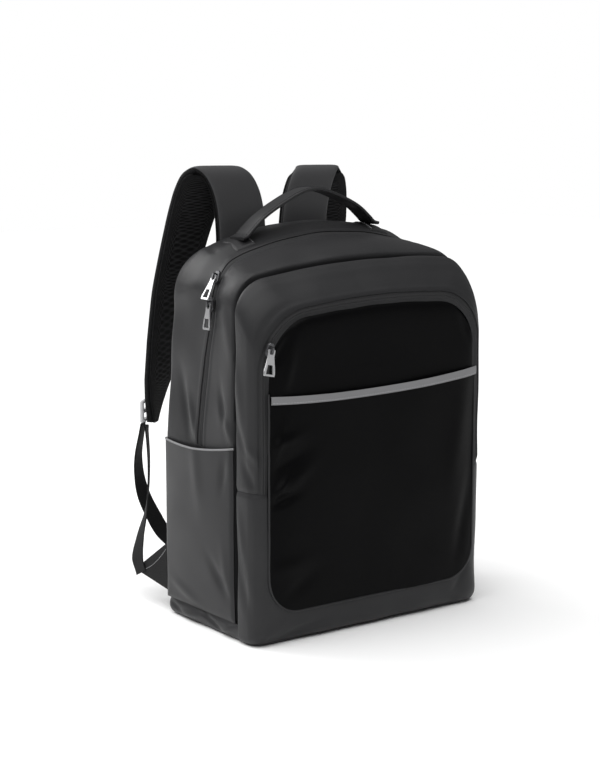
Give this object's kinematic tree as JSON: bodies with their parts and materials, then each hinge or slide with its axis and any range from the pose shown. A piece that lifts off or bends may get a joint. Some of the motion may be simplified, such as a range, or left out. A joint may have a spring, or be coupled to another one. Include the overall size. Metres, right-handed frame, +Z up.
{
  "type": "laptop backpack",
  "caption": "Slim rectangular laptop backpack with two zipped compartments, a front slip pocket, side pockets, a top handle and padded shoulder straps with webbing adjusters.",
  "frame": {"origin": "middle of the flat base that the bag stands on", "axes": "+Z up, front with the slip pocket towards -Y, the bag's left side, with the zip pulls, towards -X"},
  "size_m": [0.3122, 0.3, 0.4693],
  "materials": {
    "body_cloth": "coated, fine weave, satin sheen",
    "door_cloth": "coated, fine weave, satin sheen",
    "pad_cloth": "fine weave, matt",
    "mesh_cloth": "open mesh, matt",
    "webbing": "woven, matt",
    "grey_trim": "woven, satin",
    "zip_tape": "woven, matt",
    "grey_plastic": "satin",
    "dark_metal": "satin",
    "bright_metal": "polished"
  },
  "bodies": {
    "bag": {"base_panel": "body_cloth", "main_shell": "body_cloth", "front_shell_upper": "body_cloth", "front_shell_lower": "body_cloth", "handle": "body_cloth", "handle_patch_left": "body_cloth", "handle_patch_right": "body_cloth", "side_pocket_left": "body_cloth", "side_pocket_right": "body_cloth", "anchor_tab_left": "body_cloth", "anchor_tab_right": "body_cloth", "front_door": "door_cloth", "slip_pocket": "door_cloth", "compartment_wall": "pad_cloth", "back_panel": "pad_cloth", "shoulder_strap_left": "pad_cloth", "shoulder_strap_right": "pad_cloth", "strap_mesh_left": "mesh_cloth", "strap_mesh_right": "mesh_cloth", "strap_webbing_left": "webbing", "strap_webbing_right": "webbing", "webbing_tail_left": "webbing", "webbing_tail_right": "webbing", "slip_pocket_trim": "grey_trim", "side_pocket_trim_left": "grey_trim", "side_pocket_trim_right": "grey_trim", "main_zip": "zip_tape", "front_zip": "zip_tape", "ladder_lock_left": "grey_plastic", "ladder_lock_right": "grey_plastic", "main_slider_upper": "dark_metal", "main_slider_lower": "dark_metal", "front_slider": "dark_metal"},
    "upper_pull": {"main_pull_upper": "bright_metal"},
    "lower_pull": {"main_pull_lower": "bright_metal"},
    "front_pull_tab": {"front_pull": "bright_metal"}
  },
  "joints": [
    {"name": "upper_pull_swing", "type": "hinge", "parent": "bag", "child": "upper_pull", "pos_m": [-0.14035, -0.00692, 0.36284], "axis": [0, 1, 0], "range_deg": [0, 120]},
    {"name": "lower_pull_swing", "type": "hinge", "parent": "bag", "child": "lower_pull", "pos_m": [-0.14883, -0.00925, 0.33559], "axis": [0, 1, 0], "range_deg": [0, 120]},
    {"name": "front_pull_swing", "type": "hinge", "parent": "bag", "child": "front_pull_tab", "pos_m": [-0.13313, -0.09485, 0.29747], "axis": [-0.9804, 0, 0.1972], "range_deg": [0, 120]}
  ]
}
